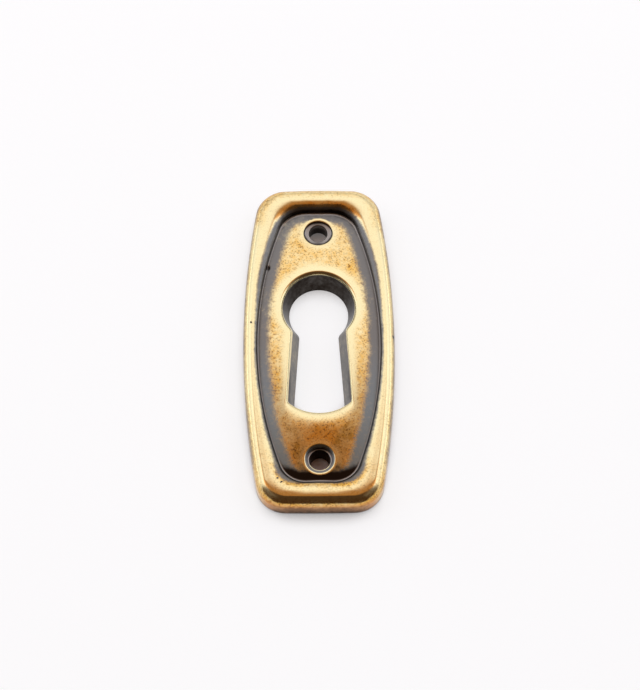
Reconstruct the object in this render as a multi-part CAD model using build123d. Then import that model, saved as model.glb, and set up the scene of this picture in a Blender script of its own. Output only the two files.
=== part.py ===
from build123d import *

import math
import os
from typing import NamedTuple

# Cast keyhole escutcheon: a barrel-shaped plate with a rounded rim, a domed field and a flared keyhole.
# Millimetres. The back lies on z = 0 with the origin at its centre, +Z comes out of the face
# and +Y points to the round end of the keyhole.

# Plate, measured at the back
plate_length = 40.0
plate_width = 17.2
side_bow = 1.95
end_bow = 0.12
corner_radius = 3.4

# Rim: a quarter round outside, a flat crest that widens towards the ends, a rounded edge inside
rim_height = 2.75
rim_width_side = 1.67
rim_width_end = 3.18
rim_outer_radius = 1.05
rim_inner_radius = 0.58

# Recess inside the rim, as deep as the plate may be thin
recess_side_bow = 3.34
recess_corner_radius = 3.07
recess_floor = 1.0

# Field: a low dome that fills the recess, curved more across the plate than along it
crown_height = 3.0
field_radius_across = 24.0
field_radius_along = 125.0

# Keyhole, measured at the back, with walls that open towards the face
bore_diameter = 6.74
bore_offset = 4.57
slot_head_width = 4.06
slot_foot_width = 5.7
slot_reach = 12.44
slot_foot_radius = 4.6
slot_corner_radius = 0.45
neck_radius = 0.8
keyhole_draft = 19.0
lip_radius = 0.65

# Pin holes: a through hole in a shallow dished seat, set in from the ends of the recess
pin_inset = 2.52
pin_hole_diameter = 2.1
pin_seat_diameter = 3.35
pin_seat_floor = 2.75
pin_seat_depth = 0.3
pin_rim_radius = 0.12

# How far a cutter runs past the plate
overrun = 1.0

recess_length = plate_length - 2 * rim_width_end
recess_width = plate_width - 2 * rim_width_side
pin_spacing = recess_length - 2 * pin_inset


class Outline(NamedTuple):
    """A barrel outline: two bowed sides, two ends that may be bowed, and four rounded corners."""

    length: float
    width: float
    side_bow: float
    end_bow: float
    corner_radius: float

    def face(self) -> Face:
        """The flat face inside the outline."""
        half_length, half_width = self.length / 2, self.width / 2
        x, y = half_width - self.side_bow, half_length - self.end_bow
        sides = [
            ThreePointArc((x, -y), (half_width, 0), (x, y)),
            ThreePointArc((-x, y), (-half_width, 0), (-x, -y)),
        ]
        ends = [Line((x, y), (-x, y)), Line((-x, -y), (x, -y))]
        if self.end_bow:
            ends = [
                ThreePointArc((x, y), (0, half_length), (-x, y)),
                ThreePointArc((-x, -y), (0, -half_length), (x, -y)),
            ]
        return fillet(make_face(sides + ends).vertices(), self.corner_radius)


plate_outline = Outline(plate_length, plate_width, side_bow, end_bow, corner_radius)
recess_outline = Outline(recess_length, recess_width, recess_side_bow, 0, recess_corner_radius)


def field_height(x: float, y: float) -> float:
    """Height of the field above the back."""
    return crown_height - x**2 / (2 * field_radius_across) - y**2 / (2 * field_radius_along)


def cut_and_round(body: Part, tool: Part, radius: float) -> Part:
    """Cuts the tool out of the body and rounds the edge that it leaves on the face."""
    cut = body - tool
    cut_edges = new_edges(body, tool, combined=cut)
    return fillet(cut_edges.filter_by(lambda edge: edge.center().Z > recess_floor), radius)


def make_rim() -> Part:
    """The plate with its rim: a rolled outer edge and a recess with a rounded mouth."""
    outer_radius = min(rim_outer_radius, 0.7 * rim_width_side)
    inner_radius = min(rim_inner_radius, 0.95 * (rim_width_side - outer_radius))
    block = extrude(plate_outline.face(), rim_height)
    block = fillet(block.edges().group_by(Axis.Z)[-1], outer_radius)
    recess = Pos(0, 0, recess_floor) * extrude(recess_outline.face(), rim_height)
    return cut_and_round(block, recess, inner_radius)


def field_section(y: float) -> Face:
    """Section of the dome across the plate, deeper than the field's lowest corner."""
    x = plate_width / 2
    edge_z, middle_z = field_height(x, y), field_height(0, y)
    base_z = field_height(x, plate_length / 2) - overrun
    return make_face(
        [
            Bezier((-x, y, edge_z), (0, y, 2 * middle_z - edge_z), (x, y, edge_z)),
            Polyline((x, y, edge_z), (x, y, base_z), (-x, y, base_z), (-x, y, edge_z)),
        ]
    )


def make_field() -> Part:
    """The domed field: one smooth skin over sections across the plate, trimmed to the recess."""
    dome = loft([field_section(y) for y in (-plate_length / 2, 0, plate_length / 2)])
    return dome & (Pos(0, 0, recess_floor) * extrude(recess_outline.face(), crown_height))


def keyhole_growth(height: float) -> float:
    """How much further out the keyhole's walls stand at a height than at the back."""
    return height * math.tan(math.radians(keyhole_draft))


def slot_face(height: float) -> Face:
    """Section of the slot at a height: straight sides that spread from the bore to a round foot."""
    growth = keyhole_growth(height)
    foot_radius = slot_foot_radius + growth
    head_x = slot_head_width / 2 + growth
    foot_x = slot_foot_width / 2 + growth
    foot_centre = bore_offset - slot_reach + slot_foot_radius
    foot_y = foot_centre - math.sqrt(foot_radius**2 - foot_x**2)
    sharp = make_face(
        [
            Polyline((foot_x, foot_y), (head_x, bore_offset), (-head_x, bore_offset), (-foot_x, foot_y)),
            ThreePointArc((-foot_x, foot_y), (0, foot_centre - foot_radius), (foot_x, foot_y)),
        ]
    )
    feet = sharp.vertices().sort_by(Axis.Y)[:2]
    return Pos(0, 0, height) * fillet(feet, slot_corner_radius)


def make_keyhole() -> Part:
    """The tool that opens the keyhole: a cone and a drafted slot, blended at the neck."""
    height = crown_height + overrun
    bore_radius = bore_diameter / 2
    bore = Cone(bore_radius, bore_radius + keyhole_growth(height), height)
    bore = Pos(0, bore_offset, height / 2) * bore
    slot = loft([slot_face(0), slot_face(height)], ruled=True)
    tool = bore + slot
    necks = new_edges(bore, slot, combined=tool).filter_by(lambda edge: 0 < edge.center().Z < height)
    return fillet(necks, neck_radius)


def make_pin_hole() -> Part:
    """The tool for one pin hole: a through hole below a dished seat that is level with the back."""
    hole_x = pin_hole_diameter / 2
    floor_x = pin_seat_floor / 2
    flare = (pin_seat_diameter / 2 - floor_x) / pin_seat_depth
    floor_z = field_height(0, pin_spacing / 2) - pin_seat_depth
    top_z = crown_height + overrun
    profile = make_face(
        Polyline(
            (0, 0, -overrun),
            (hole_x, 0, -overrun),
            (hole_x, 0, floor_z),
            (floor_x, 0, floor_z),
            (floor_x + flare * (top_z - floor_z), 0, top_z),
            (0, 0, top_z),
            close=True,
        )
    )
    return revolve(profile, Axis.Z)


plate = make_rim() + make_field()
plate = cut_and_round(plate, make_keyhole(), lip_radius)
for y in (-pin_spacing / 2, pin_spacing / 2):
    plate = cut_and_round(plate, Pos(0, y, 0) * make_pin_hole(), pin_rim_radius)

os.makedirs("parts", exist_ok=True)
export_step(plate, "parts/escutcheon_plate.step")
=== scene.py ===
import logging
import math
from dataclasses import dataclass, field
from enum import Enum
from typing import ClassVar

import bmesh
import bpy
from mathutils import Matrix, Vector, noise
from mathutils.kdtree import KDTree


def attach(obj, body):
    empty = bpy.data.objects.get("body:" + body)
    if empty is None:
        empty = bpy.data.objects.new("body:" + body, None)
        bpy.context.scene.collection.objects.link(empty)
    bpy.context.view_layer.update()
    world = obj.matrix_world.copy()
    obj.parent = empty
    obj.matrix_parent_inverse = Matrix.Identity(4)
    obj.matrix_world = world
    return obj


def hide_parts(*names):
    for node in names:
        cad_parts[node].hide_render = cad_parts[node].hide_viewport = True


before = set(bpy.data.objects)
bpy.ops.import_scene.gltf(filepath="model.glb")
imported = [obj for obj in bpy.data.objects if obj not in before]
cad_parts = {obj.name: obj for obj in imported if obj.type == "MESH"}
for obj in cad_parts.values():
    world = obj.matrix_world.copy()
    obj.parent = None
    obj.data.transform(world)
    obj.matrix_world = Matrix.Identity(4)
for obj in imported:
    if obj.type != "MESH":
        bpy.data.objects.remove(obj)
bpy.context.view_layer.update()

LOG = logging.getLogger("keyhole_escutcheon")
MM = 0.001
UP = Vector((0, 0, 1))
# Conic weight that makes a quarter turn circular
QUARTER_WEIGHT = 0.7071
# Pin holes: distance of their centres from the plate's, and radius of the lower one's mouth
PIN_Y = 14.3
LOW_PIN_MOUTH = 1.2
Ring = list[bmesh.types.BMVert]
Span = tuple[float, float]
Tree = bpy.types.NodeTree
Socket = bpy.types.NodeSocket
Feed = Socket | float | tuple[float, ...]


class Layer(Enum):
    """Vertex layers that carry how the casting was patinated and rubbed back, and where painted shade and
    painted sheen lie.
    """

    AMBER = "amber"
    SLATE = "slate"
    SOOT = "soot"
    PEWTER = "pewter"
    COPPER = "copper"
    STEEL = "steel"


class Zone(Enum):
    """Places on the plate that took the patina and the rubbing in their own way."""

    SIDE = 0
    BEAD = 1
    FILLET = 2
    FIELD = 3
    LIP = 4
    SHAFT = 5
    PIN = 6


Station = tuple[Zone, list[Vector]]
Coat = dict[Layer, float]


def linear(hex_colour: str) -> tuple[float, float, float, float]:
    """Turns an sRGB hex colour into linear RGBA.

    Args:
        hex_colour: six hex digits after a hash sign.

    Returns:
        Linear red, green and blue, with an alpha of 1.
    """
    channels = [int(hex_colour[i : i + 2], 16) / 255 for i in (1, 3, 5)]
    r, g, b = (c / 12.92 if c <= 0.04045 else ((c + 0.055) / 1.055) ** 2.4 for c in channels)
    return (r, g, b, 1.0)


def add_node(tree: Tree, kind: str, inputs: dict | None = None, **settings: object) -> bpy.types.Node:
    """Adds one node with its settings and links.

    Args:
        tree: the node tree it goes into.
        kind: the node's type name.
        inputs: for each input socket, by name or number, the value or the output socket that feeds it.
        settings: properties of the node.

    Returns:
        The new node.
    """
    node = tree.nodes.new(kind)
    for name, value in settings.items():
        setattr(node, name, value)
    for socket, value in (inputs or {}).items():
        if isinstance(value, Socket):
            tree.links.new(value, node.inputs[socket])
        else:
            node.inputs[socket].default_value = value
    return node


def reckon(tree: Tree, operation: str, *values: Feed, clamp: bool = False) -> Socket:
    """Result of one sum on values that go in in order, kept between 0 and 1 if clamped."""
    inputs = dict(enumerate(values))
    return add_node(tree, "ShaderNodeMath", inputs, operation=operation, use_clamp=clamp).outputs[0]


def ramp(
    tree: Tree,
    value: Feed,
    source: Span = (0.0, 1.0),
    target: Span = (0.0, 1.0),
    smooth: bool = False,
    clamp: bool = True,
) -> Socket:
    """Adds a node that maps a value from one span to another.

    Args:
        tree: the node tree it goes into.
        value: what is mapped.
        source: the span that the value comes from.
        target: the span that it is mapped to.
        smooth: whether the ends are eased.
        clamp: whether the result stays inside the target.

    Returns:
        The mapped value.
    """
    inputs = {0: value, 1: source[0], 2: source[1], 3: target[0], 4: target[1]}
    way = "SMOOTHSTEP" if smooth else "LINEAR"
    node = add_node(tree, "ShaderNodeMapRange", inputs, interpolation_type=way, clamp=clamp)
    return node.outputs[0]


def blend(tree: Tree, share: Feed, under: Feed, over: Feed) -> Socket:
    """Colour that comes of laying a share of one colour over another."""
    return add_node(tree, "ShaderNodeMix", {0: share, 6: under, 7: over}, data_type="RGBA").outputs[2]


def ease(low: float, high: float, value: float) -> float:
    """Eases from 0 at low to 1 at high."""
    t = min(max((value - low) / (high - low), 0.0), 1.0)
    return t * t * (3 - 2 * t)


@dataclass(frozen=True)
class Ease:
    """A share that grows smoothly from none at one value to all at another."""

    none: float
    full: float

    def __call__(self, value: float) -> float:
        """Share at a value."""
        return ease(self.none, self.full, value)


def next_ring(bm: bmesh.types.BMesh, ring: Ring) -> Ring:
    """Extrudes a closed ring of vertices into a new one.

    Args:
        bm: the mesh.
        ring: the ring's vertices in order.

    Returns:
        The new ring, in the same order.
    """
    made = bmesh.ops.extrude_edge_only(bm, edges=ring_edges(bm, ring))
    fresh = {item for item in made["geom"] if isinstance(item, bmesh.types.BMVert)}
    return [next(e.other_vert(v) for e in v.link_edges if e.other_vert(v) in fresh) for v in ring]


def ring_edges(bm: bmesh.types.BMesh, ring: Ring) -> list[bmesh.types.BMEdge]:
    """Edges of a closed ring, in order."""
    return [bm.edges.get((a, b)) for a, b in zip(ring, ring[1:] + ring[:1])]


def conic(start: Vector, corner: Vector, end: Vector, t: float, weight: float) -> Vector:
    """A point on the round that blends start, corner and end, which is circular at the right weight."""
    a, b, c = (1 - t) ** 2, 2 * weight * t * (1 - t), t * t
    return (start * a + corner * b + end * c) / (a + b + c)


@dataclass(frozen=True)
class BarrelOutline:
    """A plan outline with bowed sides, slightly bowed ends and round corners, in millimetres."""

    length: float
    width: float
    side_bow: float
    end_bow: float
    corner_radius: float

    def points(self, side: int, corner: int, end: int) -> list[tuple[Vector, Vector]]:
        """Spaces points along the outline, counterclockwise from the middle of its lower end.

        Args:
            side: steps along a side.
            corner: steps round a corner.
            end: steps along an end.

        Returns:
            Each point with its outward normal.
        """
        x = self.width / 2 - self.side_bow
        y = self.length / 2 - self.end_bow
        side_radius = (y * y + self.side_bow**2) / (2 * self.side_bow)
        end_radius = (x * x + self.end_bow**2) / (2 * self.end_bow)
        side_centre = Vector((self.width / 2 - side_radius, 0))
        end_centre = Vector((0, self.length / 2 - end_radius))
        r1 = side_radius - self.corner_radius
        r2 = end_radius - self.corner_radius
        gap = end_centre - side_centre
        d = gap.length
        along = (r1 * r1 - r2 * r2 + d * d) / (2 * d)
        across = math.sqrt(r1 * r1 - along * along)
        unit = gap / d
        corner_centre = max(
            (side_centre + unit * along + Vector((-unit.y, unit.x)) * across * sign for sign in (1, -1)),
            key=lambda p: p.x + p.y,
        )
        to_side = corner_centre - side_centre
        to_end = corner_centre - end_centre
        low = math.atan2(to_side.y, to_side.x)
        high = math.atan2(to_end.y, to_end.x)
        arcs = (
            (side_centre, side_radius, 0.0, low, side // 2),
            (corner_centre, self.corner_radius, low, high, corner),
            (end_centre, end_radius, high, math.pi / 2, end // 2),
        )
        quarter: list[tuple[Vector, Vector]] = []
        for centre, radius, start, stop, steps in arcs:
            for i in range(steps + 1):
                a = start + (stop - start) * i / steps
                n = Vector((math.cos(a), math.sin(a)))
                p = centre + n * radius
                if not quarter or (quarter[-1][0] - p).length > 1e-6:
                    quarter.append((p, n))
        out: list[tuple[Vector, Vector]] = []
        for sx, sy, order in ((1, -1, -1), (1, 1, 1), (-1, 1, -1), (-1, -1, 1)):
            run = [(Vector((p.x * sx, p.y * sy, 0)), Vector((n.x * sx, n.y * sy, 0))) for p, n in quarter]
            out.extend(run[::order][:-1])
        return out


@dataclass
class Keyhole:
    """The keyhole: a round bore and a spreading slot whose walls open towards the face, in millimetres."""

    bore_radius: float = 3.37
    bore_y: float = 4.57
    head_half_width: float = 2.03
    foot_half_width: float = 2.85
    foot_y: float = -7.87
    foot_radius: float = 4.6
    foot_corner_radius: float = 0.45
    neck_radius: float = 0.8
    draft: float = math.radians(19)
    lip_radius: float = 0.56
    lip_radius_slot: float = 0.32
    lip_radius_foot: float = 0.8
    lip_spread: float = 0.72
    lip_spread_foot: float = 3.9
    lip_weight_foot: float = 1.6
    # Along the plate: where the lip beside the slot and the foot's lip set in
    slot_lip: Ease = Ease(3.0, 0.5)
    foot_lip: Ease = Ease(-6.4, -8.7)
    star_y: float = 1.0
    growth_step: float = 0.1
    growth_levels: int = 30
    arc_steps: int = 40
    marks_per_degree: int = 4
    table: list[list[float]] = field(default_factory=list)

    def __post_init__(self) -> None:
        """Tabulates the outline as distances from the star point for a range of growths."""
        self.table = [self.polar(k * self.growth_step) for k in range(self.growth_levels)]

    def half_outline(self, growth: float) -> list[Vector]:
        """Right half of the outline from its top to its foot.

        Args:
            growth: how far the walls stand outside their place at the back.

        Returns:
            Points in order.
        """
        bore = Vector((0, self.bore_y))
        bore_r = self.bore_radius + growth
        foot_r = self.foot_radius + growth
        foot = Vector((0, self.foot_y + self.foot_radius))
        head = Vector((self.head_half_width + growth, self.bore_y))
        toe_x = self.foot_half_width + growth
        toe = Vector((toe_x, foot.y - math.sqrt(foot_r**2 - toe_x**2)))
        down = (toe - head).normalized()
        out = Vector((-down.y, down.x))
        neck = self.meet(head + out * self.neck_radius, down, bore, bore_r + self.neck_radius)
        heel = self.meet(head - out * self.foot_corner_radius, down, foot, foot_r - self.foot_corner_radius)
        to_neck = neck - bore
        to_heel = heel - foot
        neck_end = math.atan2(-out.y, -out.x)
        neck_start = math.atan2(-to_neck.y, -to_neck.x)
        heel_end = math.atan2(to_heel.y, to_heel.x)
        arcs = (
            (bore, bore_r, math.pi / 2, math.atan2(to_neck.y, to_neck.x)),
            (neck, self.neck_radius, neck_start, neck_end + math.tau if neck_end < 0 else neck_end),
            (heel, self.foot_corner_radius, math.atan2(out.y, out.x), heel_end),
            (foot, foot_r, heel_end, -math.pi / 2),
        )
        points: list[Vector] = []
        for centre, radius, start, stop in arcs:
            for i in range(self.arc_steps + 1):
                a = start + (stop - start) * i / self.arc_steps
                points.append(centre + Vector((math.cos(a), math.sin(a))) * radius)
        return points

    @staticmethod
    def meet(start: Vector, down: Vector, centre: Vector, reach: float) -> Vector:
        """Finds the lower point of a line that lies at a distance from a centre.

        Args:
            start: a point of the line.
            down: the line's direction, of length 1.
            centre: the centre.
            reach: the distance.

        Returns:
            The point.
        """
        offset = start - centre
        b = offset.dot(down)
        return start + down * (-b + math.sqrt(b * b - offset.length_squared + reach * reach))

    def polar(self, growth: float) -> list[float]:
        """Measures the outline from the star point, in even steps of angle from +Y down to -Y.

        Args:
            growth: how far the walls stand outside their place at the back.

        Returns:
            The distances in order.
        """
        star = Vector((0, self.star_y))
        marks: list[Span] = []
        for p in self.half_outline(growth):
            away = p - star
            marks.append((max(math.degrees(math.atan2(away.x, away.y)), 0.0), away.length))
        out: list[float] = []
        k = 0
        for j in range(180 * self.marks_per_degree + 1):
            angle = j / self.marks_per_degree
            while k < len(marks) - 2 and marks[k + 1][0] < angle:
                k += 1
            (a0, r0), (a1, r1) = marks[k], marks[k + 1]
            # Straight runs are straight in plan, so the chord is followed and not the angle.
            s0, s1 = math.radians(angle - a0), math.radians(a1 - angle)
            span = math.sin(s0) * r0 + math.sin(s1) * r1
            out.append(r0 * r1 * math.sin(s0 + s1) / span if span > 1e-9 else r0)
        return out

    def at(self, angle: float, growth: float) -> Vector:
        """Point of the outline in a direction from the star point.

        Args:
            angle: signed direction in degrees from +Y, positive towards +X.
            growth: how far the walls stand outside their place at the back.

        Returns:
            The point, at a height of 0.
        """
        level = growth / self.growth_step
        mark = abs(angle) * self.marks_per_degree
        k = min(int(level), len(self.table) - 2)
        j = min(int(mark), len(self.table[0]) - 2)
        f, g = level - k, mark - j
        near = self.table[k][j] * (1 - g) + self.table[k][j + 1] * g
        far = self.table[k + 1][j] * (1 - g) + self.table[k + 1][j + 1] * g
        r = near * (1 - f) + far * f
        a = math.radians(angle)
        return Vector((math.sin(a) * r, self.star_y + math.cos(a) * r, 0))


@dataclass(frozen=True)
class AntiqueBrass:
    """Cast brass, chemically darkened and rubbed back by hand.

    The high places show pale burnished gold, the field keeps an amber residue with dark specks, and the
    low places stay grey to black. Pattern sizes are in millimetres.
    """

    name: str = "cast_brass_antiqued_and_relieved"
    burnished: str = "#EEDFAE"
    amber: str = "#E2AE50"
    umber: str = "#6E3B0C"
    copper: str = "#C98A5A"
    slate: str = "#7A7774"
    steel: str = "#808C93"
    pewter: str = "#B4ABA4"
    soot: str = "#241C16"
    # Size, detail and roughness of each noise
    mottle: tuple[float, float, float] = (0.5, 4.0, 0.55)
    cloud: tuple[float, float, float] = (3.2, 2.0, 0.55)
    # Real specks are finer, about 0.05 mm. They are drawn coarser so that they show at this scale.
    speck: tuple[float, float, float] = (0.2, 3.0, 0.55)
    # Noise values that bound the stains and the specks
    stain_span: Span = (0.7, 1.3)
    speck_span: Span = (0.5, 0.66)
    speck_depth: float = 0.9
    # The stains reach further where there is more amber
    amber_span: Span = (0.1, 0.55)
    amber_reach: Span = (0.03, 0.42)
    # How far stains and specks break up the edges of the dark films
    slate_stain: float = 0.16
    slate_speck: float = 0.6
    slate_span: Span = (0.4, 1.3)
    soot_and_shade_stain: float = 0.12
    soot_and_shade_span: Span = (0.2, 0.9)
    speck_dulling: float = 0.5
    burnished_roughness: float = 0.18
    dull_roughness: float = 0.36
    bump_strength: float = 0.12
    bump_depth: float = 0.01

    def material(self) -> bpy.types.Material:
        """Builds the material.

        Returns:
            The new material.
        """
        material = bpy.data.materials.new(self.name)
        material.use_nodes = True
        tree = material.node_tree
        tree.nodes.clear()
        place = add_node(tree, "ShaderNodeTexCoord").outputs["Object"]
        layer = {
            kind: add_node(tree, "ShaderNodeAttribute", attribute_name=kind.value).outputs["Fac"]
            for kind in Layer
        }
        mottle, cloud, speck = (
            add_node(
                tree,
                "ShaderNodeTexNoise",
                {"Vector": place, "Scale": 1 / (size * MM), "Detail": detail, "Roughness": rough},
            ).outputs["Fac"]
            for size, detail, rough in (self.mottle, self.cloud, self.speck)
        )
        stain = reckon(tree, "ADD", mottle, cloud)
        stain = ramp(tree, stain, self.stain_span, (-1.0, 1.0), clamp=False)
        reach = ramp(tree, layer[Layer.AMBER], self.amber_span, self.amber_reach)
        amber = reckon(tree, "MULTIPLY_ADD", stain, reach, layer[Layer.AMBER], clamp=True)
        colour = blend(tree, amber, linear(self.burnished), linear(self.amber))
        specks = ramp(tree, speck, self.speck_span, (0.0, self.speck_depth), smooth=True)
        specks = reckon(tree, "MULTIPLY", specks, amber)
        colour = blend(tree, specks, colour, linear(self.umber))
        colour = blend(tree, layer[Layer.COPPER], colour, linear(self.copper))
        slate = reckon(tree, "MULTIPLY_ADD", stain, self.slate_stain, layer[Layer.SLATE])
        slate = reckon(tree, "MULTIPLY_ADD", speck, self.slate_speck, slate)
        slate = ramp(tree, slate, self.slate_span, smooth=True)
        film = blend(tree, layer[Layer.STEEL], linear(self.slate), linear(self.steel))
        colour = blend(tree, slate, colour, film)
        # This near-black colour lays the black patina of the hollows and also painted shade.
        soot = reckon(tree, "MULTIPLY_ADD", stain, self.soot_and_shade_stain, layer[Layer.SOOT])
        soot = ramp(tree, soot, self.soot_and_shade_span, smooth=True)
        colour = blend(tree, soot, colour, linear(self.soot))
        # Painted sheen: pale grey highlights on the groove's floor and round the pin holes.
        colour = blend(tree, layer[Layer.PEWTER], colour, linear(self.pewter))
        dull = reckon(tree, "MAXIMUM", slate, soot)
        dull = reckon(tree, "MULTIPLY_ADD", specks, self.speck_dulling, dull, clamp=True)
        roughness = ramp(tree, dull, target=(self.burnished_roughness, self.dull_roughness))
        bump = add_node(
            tree,
            "ShaderNodeBump",
            {"Height": speck, "Strength": self.bump_strength, "Distance": self.bump_depth * MM},
        ).outputs[0]
        shader = add_node(
            tree,
            "ShaderNodeBsdfPrincipled",
            {"Base Color": colour, "Metallic": 1.0, "Roughness": roughness, "Normal": bump},
        ).outputs[0]
        add_node(tree, "ShaderNodeOutputMaterial", {"Surface": shader})
        return material


@dataclass(frozen=True)
class Spot:
    """One place on the plate and how strongly each layer covers it, as shares of full cover.

    Lengths are in millimetres, and the plate's foot lies towards minus Y. Each Ease is read across or along
    the plate. The other spans are read away from the edge, the groove, the lip or a pin hole, or down from
    the top.
    """

    x: float
    y: float
    z: float
    # Distances in plan
    to_groove: float
    to_lip: float
    to_edge: float
    to_pin: float
    # Depth below the dome of the field, and below the rim's top
    sunk: float
    fall: float
    flank: ClassVar[Ease] = Ease(5.5, 7.0)
    end: ClassVar[Ease] = Ease(13.5, 16.5)
    tip: ClassVar[Ease] = Ease(13.0, 16.0)
    low: ClassVar[Ease] = Ease(2.0, -10.0)
    foot: ClassVar[Ease] = Ease(-7.0, -8.8)
    slot_side: ClassVar[Ease] = Ease(0.0, -6.0)
    slot: ClassVar[Ease] = Ease(4.0, 1.0)
    bore: ClassVar[Ease] = Ease(1.5, 6.0)
    under_head: ClassVar[Ease] = Ease(7.5, 5.0)
    crest_inset: ClassVar[float] = 1.2
    film_edge: ClassVar[float] = 0.14
    seat_edge: ClassVar[float] = 0.02

    def coat(self, zone: Zone) -> Coat:
        """Works out the cover of each layer here.

        Args:
            zone: the kind of surface.

        Returns:
            The layers that lie here, with their cover.
        """
        if zone is Zone.SIDE:
            return self.side()
        if zone is Zone.BEAD:
            return self.bead()
        # The groove's floor takes a painted sheen, stronger towards the ends.
        if zone is Zone.FILLET:
            return {Layer.SLATE: 1.0, Layer.SOOT: 0.15, Layer.PEWTER: 0.2 + 0.25 * self.tip(abs(self.y))}
        if zone is Zone.LIP:
            soot = 0.6 * ease(0.2, 0.36, self.sunk) * self.bore(self.y)
            return {Layer.AMBER: self.residue(), Layer.SLATE: self.film(), Layer.SOOT: soot}
        if zone is Zone.SHAFT:
            return self.shaft()
        if zone is Zone.PIN and self.sunk > self.seat_edge:
            return self.pin()
        return self.face()

    def beside(self) -> float:
        """How far the place lies beside the slot, above its foot."""
        return self.slot_side(self.y) * (1 - self.foot(self.y))

    def worn(self) -> float:
        """Share of the film that handling has left, least at the corners of the foot's end."""
        return 1 - 0.7 * self.end(abs(self.y)) * ease(4.6, 6.2, abs(self.x)) * (self.y < 0)

    def film_depth(self) -> float:
        """Depth at which the film on the keyhole's wall starts, higher on the right of the slot."""
        depth = 0.3 + 0.3 * self.slot(self.y) * ease(2.0, -2.0, self.x)
        return depth - 0.15 * self.beside() + 0.2 * self.foot(self.y)

    def film(self) -> float:
        """Cover of the film on the keyhole's wall."""
        depth = self.film_depth()
        return ease(depth, depth + self.film_edge, self.sunk)

    def residue(self) -> float:
        """Works out the amber residue on the field and the lip, which is rubbed off near the keyhole.

        Returns:
            The cover of amber.
        """
        foot, beside, under = self.foot(self.y), self.beside(), self.under_head(self.y)
        wide = 1.7 - 0.35 * under - 0.35 * beside + 0.75 * foot
        narrow = 0.65 - 0.2 * (under + beside + foot)
        rubbed = ease(wide, narrow, self.to_lip)
        return (0.54 + 0.14 * self.low(self.y) - 0.1 * beside) * (1 - 0.9 * rubbed)

    def side(self) -> Coat:
        """Covers the upright side of the plate.

        Returns:
            The layers with their cover.
        """
        flank, worn = self.flank(abs(self.x)), self.worn()
        return {
            Layer.AMBER: 0.9 - 0.4 * flank,
            Layer.SLATE: 0.5 * flank * worn,
            # Painted shade: this cover grows darker towards the floor.
            Layer.SOOT: (0.74 - 0.16 * self.z) * (1 - 0.4 * flank) * worn,
            Layer.COPPER: 0.8 - 0.5 * flank,
        }

    def bead(self) -> Coat:
        """Covers the rim, which darkens down its outside and has a dark band beside the groove.

        Returns:
            The layers with their cover.
        """
        y, to_groove, fall, end = self.y, self.to_groove, self.fall, self.end(abs(self.y))
        head = 0.3 * end * ease(1.7, 0.9, self.to_edge) * (y > 0)
        amber = 0.08 + 0.13 * ease(-2.0, -16.0, y) + head
        if self.to_edge <= self.crest_inset:
            flank, worn = self.flank(abs(self.x)), self.worn()
            return {
                Layer.AMBER: amber + 0.55 * ease(0.1, 0.8, fall) * (1 - 0.35 * flank),
                Layer.SLATE: 0.62 * flank * worn * ease(0.25, 0.8, fall),
                # Painted shade: the rim darkens down its outside towards the floor.
                Layer.SOOT: 0.5 * worn * ease(0.75, 1.2, fall) * (1 - 0.4 * flank),
                Layer.COPPER: (0.72 - 0.5 * flank) * ease(0.55, 1.15, fall),
            }
        corner = ease(2.2, 4.2, abs(self.x)) * end * (y < 0)
        middle = ease(4.7, 3.7, abs(self.x)) if y > 0 else 1.0
        band = 0.33 + 0.42 * ease(2.0, 11.0, y) * (1 - 0.4 * end)
        band += 0.15 * ease(-6.0, -14.0, y) + 0.3 * corner
        dark = 0.3 + 0.45 * ease(5.0, -5.0, y) + 0.5 * end * ease(0.0, 1.0, y)
        return {
            Layer.AMBER: amber + 0.7 * end * middle * ease(band + 0.8, band + 0.1, to_groove),
            Layer.SLATE: ease(band + 0.3 + 0.35 * corner, band - 0.28, to_groove),
            Layer.SOOT: dark * ease(band * 0.75, band * 0.25, to_groove),
        }

    def shaft(self) -> Coat:
        """Covers the keyhole's wall, with painted shade on the bore's wall and a painted shadow line under
        the lower slot's lip.

        Returns:
            The layers with their cover.
        """
        y, sunk, depth, film = self.y, self.sunk, self.film_depth(), self.film()
        line = ease(depth, depth + 0.1, sunk) * ease(depth + 0.9, depth + 0.35, sunk)
        return {
            Layer.AMBER: 0.08 + 0.62 * film,
            Layer.SLATE: (1.3 - 0.36 * self.slot(y)) * film,
            # Painted shade on the bore's wall and a painted shadow line under the lower slot's lip, over
            # the film's black patina.
            Layer.SOOT: 0.4 * film + 0.36 * self.bore(y) + 0.4 * line * ease(-2.0, -6.0, y),
        }

    def pin(self) -> Coat:
        """Covers a pin hole and its seat: painted highlights on the lower mouth and the upper seat, painted
        shade.

        Returns:
            The layers with their cover.
        """
        sunk, deep = self.sunk, ease(0.36, 0.5, self.sunk)
        slate = 1.1 * ease(0.015, 0.07, sunk)
        if self.y < 0:
            # The lower mouth's ring is a painted highlight, bright gold on its near side and pale grey
            # elsewhere.
            ring = ease(0.1, 0.04, abs(self.to_pin - LOW_PIN_MOUTH - 0.04))
            bright = ease(0.2, 0.9, -PIN_Y - self.y)
            slate *= 1 - ring * bright
            soot = 0.55 * ease(0.08, 0.2, sunk) * (1 - ring)
            pewter = 0.8 * ring * (1 - bright)
        else:
            # Upper seat: a painted dark ring of shade at its outer edge, then a painted pale ring further
            # down.
            soot = 0.9 * ease(0.02, 0.06, sunk) * ease(0.2, 0.12, sunk)
            pewter = 0.5 * ease(0.12, 0.2, sunk)
        # The depth of the hole is black: black patina with painted shade.
        return {Layer.SLATE: slate, Layer.SOOT: soot + 1.2 * deep, Layer.PEWTER: pewter * (1 - deep)}

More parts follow.
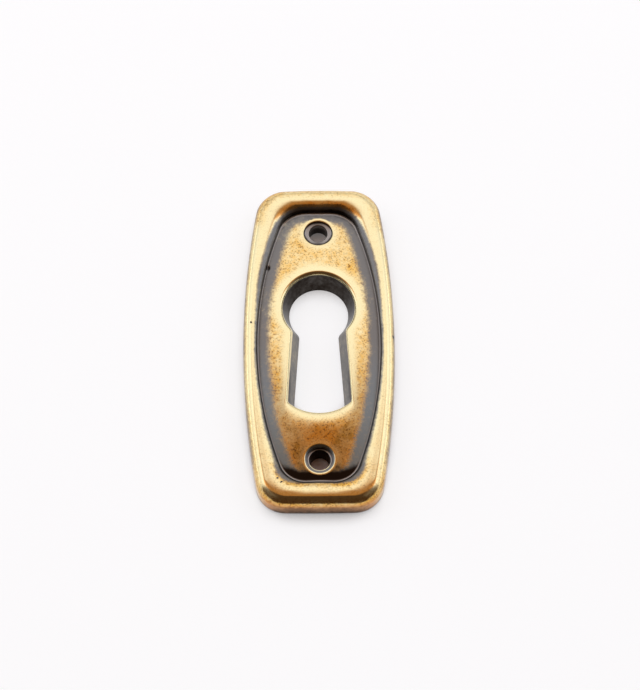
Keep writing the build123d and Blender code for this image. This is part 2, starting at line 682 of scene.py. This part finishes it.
    def face(self) -> Coat:
        """Covers the field, whose lower end is black and whose pin holes have a rubbed edge.

        Returns:
            The layers with their cover.
        """
        y, to_groove, to_pin = self.y, self.to_groove, self.to_pin
        bottom = ease(-14.3, -16.3, y)
        aside = ease(1.2, 2.0, to_groove) * ease(4.6, 3.0, to_groove)
        soot = 0.2 * ease(0.5, 0.15, to_groove) + 0.8 * bottom
        soot += 0.34 * ease(1.8, 0.5, to_groove) * ease(12.0, 16.0, y)
        soot += 0.45 * ease(1.5, 0.4, to_groove) * ease(-12.8, -16.0, y)
        soot += 0.42 * aside * ease(-7.0, -11.0, y)
        rubbed = ease(2.0 - 0.12 * bottom, 1.85 - 0.07 * bottom, to_pin)
        return {
            Layer.AMBER: self.residue() - 0.4 * ease(2.9, 1.7, to_pin),
            Layer.SLATE: ease(2.12, 0.65, to_groove) - 0.9 * ease(2.05, 1.85, to_pin),
            Layer.SOOT: soot * (1 - rubbed),
            # The groove's painted sheen runs on a little onto the field at the ends.
            Layer.PEWTER: 0.3 * ease(0.24, 0.17, to_groove) * self.tip(abs(y)),
            Layer.STEEL: self.low(y),
        }


@dataclass
class EscutcheonPlate:
    """The one-piece plate: rim, groove, domed field, keyhole and pin holes, in millimetres."""

    # A hair shorter than 40 mm, so that it stays inside the solid's facets
    outline: BarrelOutline = BarrelOutline(39.99, 17.2, 1.95, 0.12, 3.4)
    recess: BarrelOutline = BarrelOutline(33.94, 14.02, 3.36, 0.002, 3.07)
    keyhole: Keyhole = field(default_factory=Keyhole)
    rim_height: float = 2.75
    # Upright side, from the slightly rounded edge of the back: inset and height
    side_profile: tuple[Span, ...] = (
        (0.06, 0.0), (0.015, 0.02), (0.0, 0.07),
        (0.0, 0.45), (0.0, 0.9), (0.0, 1.3),
    )
    outer_radius: float = 1.15
    corner_spread: float = 0.25
    crest_radius: float = 6.0
    # The inner edge of the rim is rounder where the rim is wide
    wide_rim: Ease = Ease(0.5, 2.0)
    inner_share: Span = (0.9, 0.66)
    inner_reach: float = 1.42
    inner_drop: Span = (0.48, 0.62)
    groove_radius: float = 0.17
    crown: float = 2.99
    radius_across: float = 24.0
    radius_along: float = 125.0
    wall_shares: tuple[float, ...] = (0.96, 0.92, 0.87, 0.8, 0.55, 0.3, 0.1, 0.0)
    pin_hole_radius: float = 1.05
    pin_seat_depth: float = 0.3
    # Faces within the first distance make room for a pin hole, whose edges lie within the second
    pin_clearing: Span = (2.16, 2.7)
    # Seat: radius and share of the way down to its floor
    seat_profile: tuple[Span, ...] = (
        (1.98, 0.0), (1.90, 0.0), (1.82, 0.0), (1.77, 0.02), (1.72, 0.08), (1.67, 0.20),
        (1.62, 0.36), (1.55, 0.60), (1.48, 0.80), (1.42, 0.93), (1.37, 1.0),
    )
    # Mouth of the hole: how far outside its radius and how deep below the seat's floor
    mouth_profile: tuple[Span, ...] = ((0.11, 0.0), (0.05, 0.01), (0.02, 0.04), (0.0, 0.1))
    hole_step: float = 0.9
    # Casting pits in the face: place in plan, radius and depth
    pits: tuple[tuple[float, float, float, float], ...] = (
        (-5.75, 9.85, 0.27, 0.12),
        (8.5, 0.8, 0.2, 0.06),
        (-7.7, 2.6, 0.13, 0.03),
        (-4.75, -16.85, 0.13, 0.03),
        (-4.3, -17.3, 0.13, 0.03),
    )
    pit_height: Ease = Ease(1.4, 1.85)
    waviness: float = 0.01
    wave_scale: float = 0.15
    wave_height: Ease = Ease(0.2, 1.2)
    lip_growth: float = 0.9
    lip_mark_angle: int = 2
    crisp_angle: float = math.radians(40)
    side_steps: int = 160
    corner_steps: int = 36
    end_steps: int = 48
    outer_steps: int = 16
    crest_steps: int = 6
    inner_steps: int = 14
    groove_steps: int = 5
    field_steps: int = 42
    lip_steps: int = 14
    lip_passes: int = 4
    pin_segments: int = 72
    bm: bmesh.types.BMesh = field(default_factory=bmesh.new)

    def field_height(self, p: Vector) -> float:
        """Height of the domed field at a place in plan."""
        return self.crown - p.x**2 / (2 * self.radius_across) - p.y**2 / (2 * self.radius_along)

    def build(self) -> bpy.types.Object:
        """Builds the plate's mesh.

        Returns:
            The finished object, at the origin.
        """
        steps = (self.side_steps, self.corner_steps, self.end_steps)
        edge = self.outline.points(*steps)
        groove = [p for p, _ in self.recess.points(*steps)]
        for kind in Layer:
            self.bm.verts.layers.float.new(kind.value)
        zones = self.bm.verts.layers.int.new("zone")
        ring = bmesh.ops.create_circle(self.bm, segments=len(edge), radius=1)["verts"]
        foot = ring
        for k, (zone, station) in enumerate(self.rim_stations(edge, groove) + self.face_stations(groove)):
            ring = ring if k == 0 else next_ring(self.bm, ring)
            for v, p in zip(ring, station):
                v.co = p
                v[zones] = zone.value
        self.bm.edges.index_update()
        loops = [foot, ring]
        for y in (PIN_Y, -PIN_Y):
            loops.append(self.pin_hole(y))
        self.close_back(loops)
        self.weather([p for p, _ in edge], groove)
        return self.finish_object()

    def rim_stations(self, edge: list[tuple[Vector, Vector]], groove: list[Vector]) -> list[Station]:
        """Places the rings from the back's edge over the rim and down into the groove.

        Args:
            edge: points and normals of the plate's outline.
            groove: points of the recess outline.

        Returns:
            The zone and the points of each ring.
        """
        sides: list[Station] = [
            (Zone.SIDE, [p - n * inset + UP * z for p, n in edge]) for inset, z in self.side_profile
        ]
        beads: list[list[Vector]] = []
        shoulder = self.rim_height - self.outer_radius
        broad = [self.outer_radius + self.corner_spread * (2 * abs(n.x * n.y)) ** 2 for _, n in edge]
        for k in range(self.outer_steps + 1):
            a = math.pi / 2 * k / self.outer_steps
            z = shoulder + self.outer_radius * math.sin(a)
            beads.append([p - n * b * (1 - math.cos(a)) + UP * z for (p, n), b in zip(edge, broad)])
        crest = [p - n * b for (p, n), b in zip(edge, broad)]
        reach, drop, inward = [], [], []
        for c, g in zip(crest, groove):
            width = (g - c).length
            share = self.wide_rim(width)
            reach.append(min(width * self.between(self.inner_share, share), self.inner_reach))
            drop.append(self.between(self.inner_drop, share))
            inward.append((g - c).normalized())
        top = UP * self.rim_height
        brink = [g - n * r for g, n, r in zip(groove, inward, reach)]
        for k in range(1, self.crest_steps):
            beads.append([c.lerp(b, k / self.crest_steps) + top for c, b in zip(crest, brink)])
        for k in range(self.inner_steps + 1):
            a = math.pi / 2 * k / self.inner_steps
            beads.append(
                [
                    g - n * r * (1 - math.sin(a)) + UP * (self.rim_height - d * (1 - math.cos(a)))
                    for g, n, r, d in zip(groove, inward, reach, drop)
                ]
            )
        # The crest is slightly crowned about its middle line.
        crest_line = [(c + b) / 2 for c, b in zip(crest, brink)]
        for points in beads:
            for p, c in zip(points, crest_line):
                p.z -= (p.xy - c.xy).length_squared / (2 * self.crest_radius)
        fillets: list[Station] = []
        for k in range(self.groove_steps + 1):
            points = []
            for g, n in zip(groove, inward):
                low = g + UP * self.field_height(g)
                floor = g + n * self.groove_radius
                floor = floor + UP * self.field_height(floor)
                wall = low + UP * self.groove_radius
                points.append(conic(wall, low, floor, k / self.groove_steps, QUARTER_WEIGHT))
            fillets.append((Zone.FILLET, points))
        return sides + [(Zone.BEAD, points) for points in beads] + fillets

    @staticmethod
    def between(limits: Span, share: float) -> float:
        """Value at a share of the way between two limits."""
        return limits[0] + (limits[1] - limits[0]) * share

    def face_stations(self, groove: list[Vector]) -> list[Station]:
        """Places the rings from the groove over the field, the lip and the keyhole's wall to the back.

        Args:
            groove: points of the recess outline.

        Returns:
            The zone and the points of each ring.
        """
        hole = self.keyhole
        slope = math.tan(hole.draft)
        turn = math.pi / 2 - hole.draft
        outer, lips, walls, starts = [], [], [], []
        star = Vector((0, hole.star_y, 0))
        for g in groove:
            away = g - star
            angle = math.degrees(math.atan2(away.x, away.y))
            z = self.crown
            for _ in range(self.lip_passes):
                corner = hole.at(angle, z * slope)
                z = self.field_height(corner)
            share = hole.foot_lip(corner.y)
            lip_radius = self.between((hole.lip_radius, hole.lip_radius_slot), hole.slot_lip(corner.y))
            lip_radius = self.between((lip_radius, hole.lip_radius_foot), share)
            tangent = lip_radius * math.tan(turn / 2)
            spread = self.between((hole.lip_spread, hole.lip_spread_foot), share)
            weight = math.cos(turn / 2) * (1 - share) + hole.lip_weight_foot * share
            start = hole.at(angle, z * slope + tangent * spread)
            start = start + UP * self.field_height(start)
            low_z = z - tangent * math.cos(hole.draft)
            end = hole.at(angle, low_z * slope) + UP * low_z
            starts.append(start)
            lips.append(
                [
                    conic(start, corner + UP * z, end, k / self.lip_steps, weight)
                    for k in range(self.lip_steps + 1)
                ]
            )
            walls.append([hole.at(angle, low_z * slope * f) + UP * low_z * f for f in self.wall_shares])
            outer.append(g + (start - g).normalized() * self.groove_radius)
        stations: list[Station] = []
        for k in range(1, self.field_steps):
            t = k / self.field_steps
            points = [o.lerp(s, t) for o, s in zip(outer, starts)]
            stations.append((Zone.FIELD, [Vector((p.x, p.y, self.field_height(p))) for p in points]))
        stations += [(Zone.LIP, list(points)) for points in zip(*lips)]
        stations += [(Zone.SHAFT, list(points)) for points in zip(*walls)]
        return stations

    def pin_hole(self, y: float) -> Ring:
        """Cuts one pin hole with its dished seat into the field.

        Args:
            y: place of the hole's centre along the plate.

        Returns:
            The ring that the hole leaves at the back.
        """
        bm = self.bm
        zones = bm.verts.layers.int["zone"]
        centre = Vector((0, y, 0))
        floor = self.field_height(centre) - self.pin_seat_depth
        clear, near = self.pin_clearing
        # The back is still open here, so what lies above half the plate's height is the face.
        half = self.rim_height / 2
        inside = [f for f in bm.faces if self.above(f.calc_center_median(), centre, clear, half)]
        bmesh.ops.delete(bm, geom=inside, context="FACES")
        rim = [e for e in bm.edges if e.is_boundary and self.above(e.verts[0].co, centre, near, half)]
        mouth = self.pin_hole_radius if y > 0 else LOW_PIN_MOUTH
        # Radius, share of the way down to the seat's floor, and depth below that floor
        profile = [(radius, share, 0.0) for radius, share in self.seat_profile]
        profile += [(mouth + wider, 1.0, depth) for wider, depth in self.mouth_profile]
        profile += [(self.pin_hole_radius, 1.0, depth) for depth in (self.hole_step, floor)]
        ring = bmesh.ops.create_circle(bm, segments=self.pin_segments, radius=1)["verts"]
        outer = ring
        for k, (radius, share, depth) in enumerate(profile):
            ring = ring if k == 0 else next_ring(bm, ring)
            for i, v in enumerate(ring):
                a = math.tau * i / len(ring)
                p = centre + Vector((math.cos(a), math.sin(a), 0)) * radius
                p.z = self.field_height(p) * (1 - share) + floor * share - depth
                v.co = p
                v[zones] = Zone.PIN.value
        edges = rim + ring_edges(bm, outer)
        bmesh.ops.triangle_fill(bm, use_beauty=True, use_dissolve=False, edges=edges, normal=UP)
        return ring

    @staticmethod
    def above(p: Vector, centre: Vector, reach: float, height: float) -> bool:
        """Whether a point lies within reach of a centre in plan and above a height."""
        return (p.xy - centre.xy).length < reach and p.z > height

    def close_back(self, loops: list[Ring]) -> None:
        """Closes the flat back between its outer edge and the three openings.

        Args:
            loops: the rings of the edge and of the openings.
        """
        edges = [e for ring in loops for e in ring_edges(self.bm, ring)]
        bmesh.ops.triangle_fill(self.bm, use_beauty=True, use_dissolve=False, edges=edges, normal=-UP)

    def weather(self, edge: list[Vector], groove: list[Vector]) -> None:
        """Adds the casting's slight waviness and pits, and writes the patina layers.

        Args:
            edge: points of the plate's outline.
            groove: points of the recess outline.
        """
        layers = {kind: self.bm.verts.layers.float[kind.value] for kind in Layer}
        zones = self.bm.verts.layers.int["zone"]
        lip = [self.keyhole.at(a, self.lip_growth) for a in range(-180, 180, self.lip_mark_angle)]
        pins = [Vector((0, y, 0)) for y in (PIN_Y, -PIN_Y)]
        trees: list[KDTree] = []
        for points in (groove, lip, edge, pins):
            tree = KDTree(len(points))
            for i, p in enumerate(points):
                tree.insert(p, i)
            tree.balance()
            trees.append(tree)
        for v in self.bm.verts:
            flat = Vector((v.co.x, v.co.y, 0))
            distances = [tree.find(flat)[2] for tree in trees]
            sunk = self.field_height(flat) - v.co.z
            spot = Spot(*v.co, *distances, sunk, self.rim_height - v.co.z)
            coat = spot.coat(Zone(v[zones]))
            for x, y, radius, depth in self.pits:
                share = 1 - (v.co.xy - Vector((x, y))).length_squared / radius**2
                share *= self.pit_height(v.co.z)
                if share > 0:
                    v.co.z -= depth * share
                    coat[Layer.SLATE] = max(coat[Layer.SLATE], min(1.2, 2.5 * share))
                    coat[Layer.SOOT] = max(coat[Layer.SOOT], min(1.0, 2.0 * share))
            for kind, cover in coat.items():
                v[layers[kind]] = cover
            wave = noise.noise(v.co * self.wave_scale) * 0.5 + 0.5
            v.co.z -= self.waviness * wave * self.wave_height(v.co.z)

    def finish_object(self) -> bpy.types.Object:
        """Turns the mesh into an object in metres, shaded smooth with crisp edges.

        Returns:
            The new object.
        """
        bm = self.bm
        bmesh.ops.remove_doubles(bm, verts=bm.verts, dist=1e-4)
        bmesh.ops.recalc_face_normals(bm, faces=bm.faces)
        for f in bm.faces:
            f.smooth = True
        for e in bm.edges:
            e.smooth = e.calc_face_angle(0.0) < self.crisp_angle
        bmesh.ops.scale(bm, vec=(MM, MM, MM), verts=bm.verts)
        mesh = bpy.data.meshes.new("cast_plate")
        bm.to_mesh(mesh)
        bm.free()
        piece = bpy.data.objects.new("cast_plate", mesh)
        bpy.context.scene.collection.objects.link(piece)
        return piece

    def dress(self, piece: bpy.types.Object, finish: AntiqueBrass) -> None:
        """Gives the plate its finish and sets it in place of the solid.

        Args:
            piece: the plate's object.
            finish: the finish.
        """
        piece.data.materials.append(finish.material())
        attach(piece, "root")
        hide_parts("escutcheon_plate")


@dataclass(frozen=True)
class Panel:
    """One soft lamp: its centre, width and height in metres, and how bright its face is.

    Seen from the plate, its light fades and warms between two heights above the floor, in degrees. It can
    be dimmer near the floor, and can shine only ahead or only aside.
    """

    name: str
    place: tuple[float, float, float]
    size: Span
    radiance: float
    fade: Span
    fade_share: float
    low_share: float = 1.0
    ahead_and_aside: Span = (1.0, 1.0)
    colour: str = "#EAF2FF"
    fade_colour: str = "#FFB76A"


@dataclass
class Studio:
    """Pale floor, soft lamps and the camera, in metres."""

    floor_size: float = 1.6
    floor_gap: float = 0.00002
    sweep_height: float = 0.14
    floor_colour: str = "#A0A0A0"
    floor_roughness: float = 0.9
    lift_colour: str = "#FAFBFD"
    floor_lift: float = 0.79
    # Painted soft shadow: how far and which way it looks for the plate, and how dark it gets
    shade_reach: float = 0.0024
    shade_way: tuple[float, float, float] = (0.0, 0.87, 0.5)
    shade_span: Span = (0.25, 0.63)
    shade_floor: float = 0.45
    shade_samples: int = 8
    # Painted shade and glow on the floor under the pin holes: how closed in, the stretch between the two,
    # and their colours
    pit_span: Span = (0.43, 0.53)
    pit_stretch: Span = (-5 * MM, 5 * MM)
    pit_low_colour: str = "#C0ACAC"
    pit_high_colour: str = "#D6CACA"
    pit_glint: float = 0.24
    # Lamps, by their height above the floor and their direction, in degrees, seen from the plate
    low_fade: Span = (8.0, 50.0)
    turn_fade: Span = (38.0, 60.0)
    front_span: Span = (-0.26, -0.04)
    front_share: float = 0.08
    room_colour: str = "#E0B088"
    room_strength: float = 0.1
    panels: tuple[Panel, ...] = (
        Panel(
            "back_panel", (0.0, 0.5, 0.42), (1.7, 0.86), 1.28, (65.5, 74.0), 0.3, 0.5, (1.0, 0.0), "#F6F8FF"
        ),
        Panel("top_panel", (0.0, 0.05, 0.62), (1.2, 0.255), 0.38, (0.0, 10.0), 1.0),
        Panel("left_panel", (-0.62, 0.08, 0.36), (1.4, 1.0), 1.7, (46.0, 60.0), 0.2, 0.6, (0.0, 1.0)),
        Panel("right_panel", (0.62, 0.08, 0.36), (1.4, 1.0), 1.7, (46.0, 60.0), 0.2, 0.6, (0.0, 1.0)),
    )
    tilt: float = math.radians(26.0)
    roll: float = math.radians(-0.43)
    distance: float = 0.4
    pixels_per_mm: float = 8.776
    image_size: Span = (640.0, 690.0)
    centre_px: Span = (319.0, 352.3)

    def floor(self) -> bpy.types.Object:
        """Lays the floor, turned up behind the plate.

        Returns:
            The floor object.
        """
        bm = bmesh.new()
        bmesh.ops.create_grid(bm, x_segments=1, y_segments=1, size=self.floor_size / 2)
        bmesh.ops.translate(bm, vec=(0, 0, -self.floor_gap), verts=bm.verts)
        turned_up = [e for e in bm.edges if max(v.co.y for v in e.verts) > 0]
        made = bmesh.ops.extrude_edge_only(bm, edges=turned_up)
        risen = [item for item in made["geom"] if isinstance(item, bmesh.types.BMVert)]
        bmesh.ops.translate(bm, vec=(0, 0, self.sweep_height), verts=risen)
        bmesh.ops.recalc_face_normals(bm, faces=bm.faces)
        mesh = bpy.data.meshes.new("floor")
        bm.to_mesh(mesh)
        bm.free()
        mesh.materials.append(self.card())
        floor = bpy.data.objects.new("floor", mesh)
        bpy.context.scene.collection.objects.link(floor)
        return floor

    def card(self) -> bpy.types.Material:
        """Matt white card, lifted towards white where it is seen, with the plate's shadow kept and a
        painted one added.

        Returns:
            The new material.
        """
        material = bpy.data.materials.new("matt_white_card")
        material.use_nodes = True
        tree = material.node_tree
        tree.nodes.clear()
        path = add_node(tree, "ShaderNodeLightPath").outputs
        seen = reckon(tree, "ADD", path["Is Camera Ray"], path["Is Glossy Ray"])
        seen = reckon(tree, "ADD", seen, path["Is Transmission Ray"], clamp=True)
        x, y, z = self.shade_way
        way = add_node(tree, "ShaderNodeCombineXYZ", {0: x, 1: y, 2: z}).outputs[0]
        # A painted soft shadow falls away from the back lamp, and painted shade lies on the floor under the
        # pin holes.
        clear, sky = (
            add_node(
                tree,
                "ShaderNodeAmbientOcclusion",
                {"Distance": self.shade_reach, **facing},
                samples=self.shade_samples,
            ).outputs["AO"]
            for facing in ({"Normal": way}, {})
        )
        clear = ramp(tree, clear, self.shade_span, (self.shade_floor, 1.0))
        sky = ramp(tree, sky, self.pit_span)
        along = add_node(tree, "ShaderNodeTexCoord").outputs["Object"]
        along = add_node(tree, "ShaderNodeSeparateXYZ", {0: along}).outputs["Y"]
        along = ramp(tree, along, self.pit_stretch)
        pit = blend(tree, along, linear(self.pit_low_colour), linear(self.pit_high_colour))
        base = blend(tree, sky, pit, linear(self.floor_colour))
        # A painted glow under the upper pin hole; the lower one keeps its painted shade.
        open_sky = reckon(tree, "MAXIMUM", sky, reckon(tree, "MULTIPLY", along, self.pit_glint))
        lift = reckon(tree, "MULTIPLY", seen, clear)
        lift = reckon(tree, "MULTIPLY", lift, open_sky)
        lift = reckon(tree, "MULTIPLY", lift, self.floor_lift)
        shader = add_node(
            tree,
            "ShaderNodeBsdfPrincipled",
            {
                "Base Color": base,
                "Roughness": self.floor_roughness,
                "Emission Color": linear(self.lift_colour),
                "Emission Strength": lift,
            },
        ).outputs[0]
        add_node(tree, "ShaderNodeOutputMaterial", {"Surface": shader})
        return material

    @staticmethod
    def sines(angles: Span) -> Span:
        """Sines of two angles in degrees."""
        return (math.sin(math.radians(angles[0])), math.sin(math.radians(angles[1])))

    def lamp(self, panel: Panel) -> None:
        """Hangs one soft panel lamp that faces the plate.

        Args:
            panel: the lamp's place, size and light.
        """
        light = bpy.data.lights.new(panel.name, "AREA")
        light.shape = "RECTANGLE"
        light.size, light.size_y = panel.size
        light.energy = panel.radiance * math.pi * panel.size[0] * panel.size[1]
        light.use_nodes = True
        tree = light.node_tree
        tree.nodes.clear()
        place = add_node(tree, "ShaderNodeNewGeometry").outputs["Position"]
        way = add_node(tree, "ShaderNodeVectorMath", {0: place}, operation="NORMALIZE").outputs[0]
        x, y, rise = add_node(tree, "ShaderNodeSeparateXYZ", {0: way}).outputs
        fade = ramp(tree, rise, self.sines(panel.fade), smooth=True)
        colour = blend(tree, fade, linear(panel.colour), linear(panel.fade_colour))
        strength = ramp(tree, fade, target=(1.0, panel.fade_share))
        low = ramp(tree, rise, self.sines(self.low_fade), (panel.low_share, 1.0))
        strength = reckon(tree, "MULTIPLY", strength, low)
        level = add_node(tree, "ShaderNodeCombineXYZ", {0: x, 1: y}).outputs[0]
        level = add_node(tree, "ShaderNodeVectorMath", {0: level}, operation="NORMALIZE").outputs[0]
        aside, onward, _ = add_node(tree, "ShaderNodeSeparateXYZ", {0: level}).outputs
        if panel.low_share < 1:
            # The room behind the camera is dark, so the lamps that stand around stop short of it.
            front = ramp(tree, onward, self.front_span, (self.front_share, 1.0))
            strength = reckon(tree, "MULTIPLY", strength, front)
        aside = reckon(tree, "ABSOLUTE", aside)
        share = ramp(tree, aside, self.sines(self.turn_fade), panel.ahead_and_aside, smooth=True)
        strength = reckon(tree, "MULTIPLY", strength, share)
        glow = add_node(tree, "ShaderNodeEmission", {"Color": colour, "Strength": strength}).outputs[0]
        add_node(tree, "ShaderNodeOutputLight", {"Surface": glow})
        lamp = bpy.data.objects.new(panel.name, light)
        facing = Vector(panel.place).to_track_quat("Z", "Y").to_matrix().to_4x4()
        lamp.matrix_world = Matrix.Translation(panel.place) @ facing
        bpy.context.scene.collection.objects.link(lamp)

    def light(self) -> None:
        """Sets the lamps and the dim room around them."""
        for panel in self.panels:
            self.lamp(panel)
        world = bpy.data.worlds.new("room")
        world.use_nodes = True
        ground = world.node_tree.nodes["Background"]
        ground.inputs["Color"].default_value = linear(self.room_colour)
        ground.inputs["Strength"].default_value = self.room_strength
        bpy.context.scene.world = world

    def camera(self) -> None:
        """Sets the camera at the photograph's angle."""
        width, height = self.image_size
        data = bpy.data.cameras.new("camera")
        data.sensor_fit = "VERTICAL"
        data.sensor_height = 24.0
        data.lens = self.pixels_per_mm * self.distance / MM * data.sensor_height / height
        data.shift_x = (width / 2 - self.centre_px[0]) / height
        data.shift_y = (self.centre_px[1] - height / 2) / height
        data.clip_start = 0.01
        camera = bpy.data.objects.new("camera", data)
        turn = Matrix.Rotation(self.tilt, 4, "X") @ Matrix.Rotation(self.roll, 4, "Z")
        away = Vector((0, -math.sin(self.tilt), math.cos(self.tilt))) * self.distance
        camera.matrix_world = Matrix.Translation(away) @ turn
        bpy.context.scene.collection.objects.link(camera)
        bpy.context.scene.camera = camera


def main() -> None:
    """Builds and dresses the plate, sets the studio and notes the sizes."""
    logging.basicConfig(level=logging.INFO, format="%(name)s: %(message)s")
    plate = EscutcheonPlate()
    piece = plate.build()
    plate.dress(piece, AntiqueBrass())
    LOG.info("%s: %d faces", piece.name, len(piece.data.polygons))
    studio = Studio()
    LOG.info("%s laid", studio.floor().name)
    studio.light()
    studio.camera()
    bpy.context.scene.view_settings.view_transform = "Standard"


if __name__ == "__main__":
    main()
